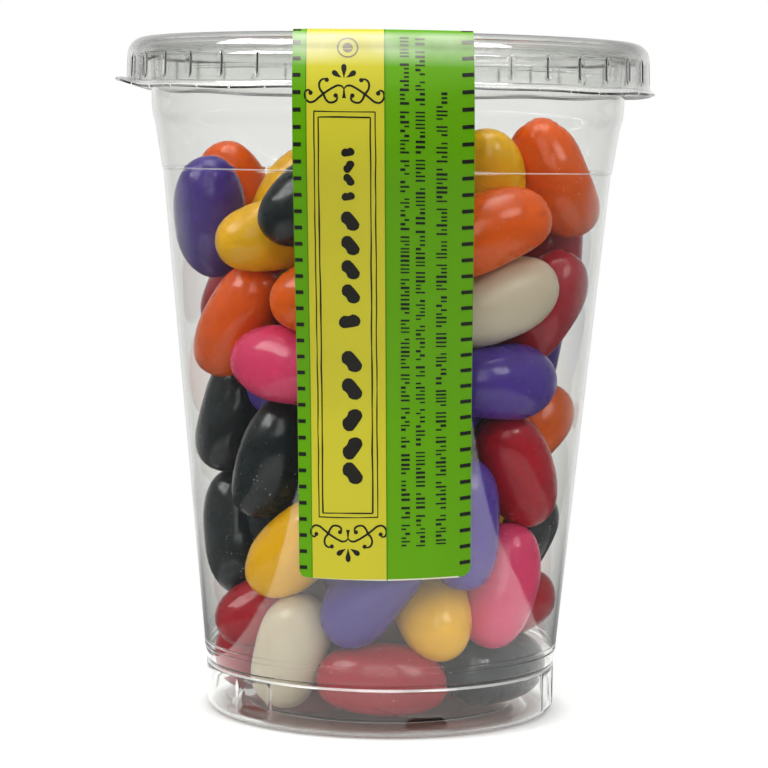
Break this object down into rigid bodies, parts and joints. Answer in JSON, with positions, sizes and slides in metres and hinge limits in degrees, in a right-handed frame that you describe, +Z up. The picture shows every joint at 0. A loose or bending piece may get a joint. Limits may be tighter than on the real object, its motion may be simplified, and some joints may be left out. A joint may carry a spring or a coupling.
{
  "type": "jar of jelly beans",
  "caption": "Clear tapered plastic cup of jelly beans, shut by a flat press-on lid, with a long paper label strip laid over the lid and hung down the front.",
  "frame": {"origin": "centre of the foot ring on the surface that the cup stands on", "axes": "+Z up along the cup's axis, -Y towards the side that the label hangs down, +X to the right as seen from the front"},
  "size_m": [0.1054, 0.1058, 0.1323],
  "materials": {
    "cup_clear_plastic": "clear gloss",
    "lid_clear_plastic": "clear gloss with fine scratches",
    "label_paper": "coated, satin",
    "bean_sugar_shell": "polished sugar shell, seven colours in the visual model"
  },
  "bodies": {
    "root": {"cup": "cup_clear_plastic", "lid": "lid_clear_plastic", "label": "label_paper", "jelly_beans": "bean_sugar_shell"}
  },
  "joints": []
}
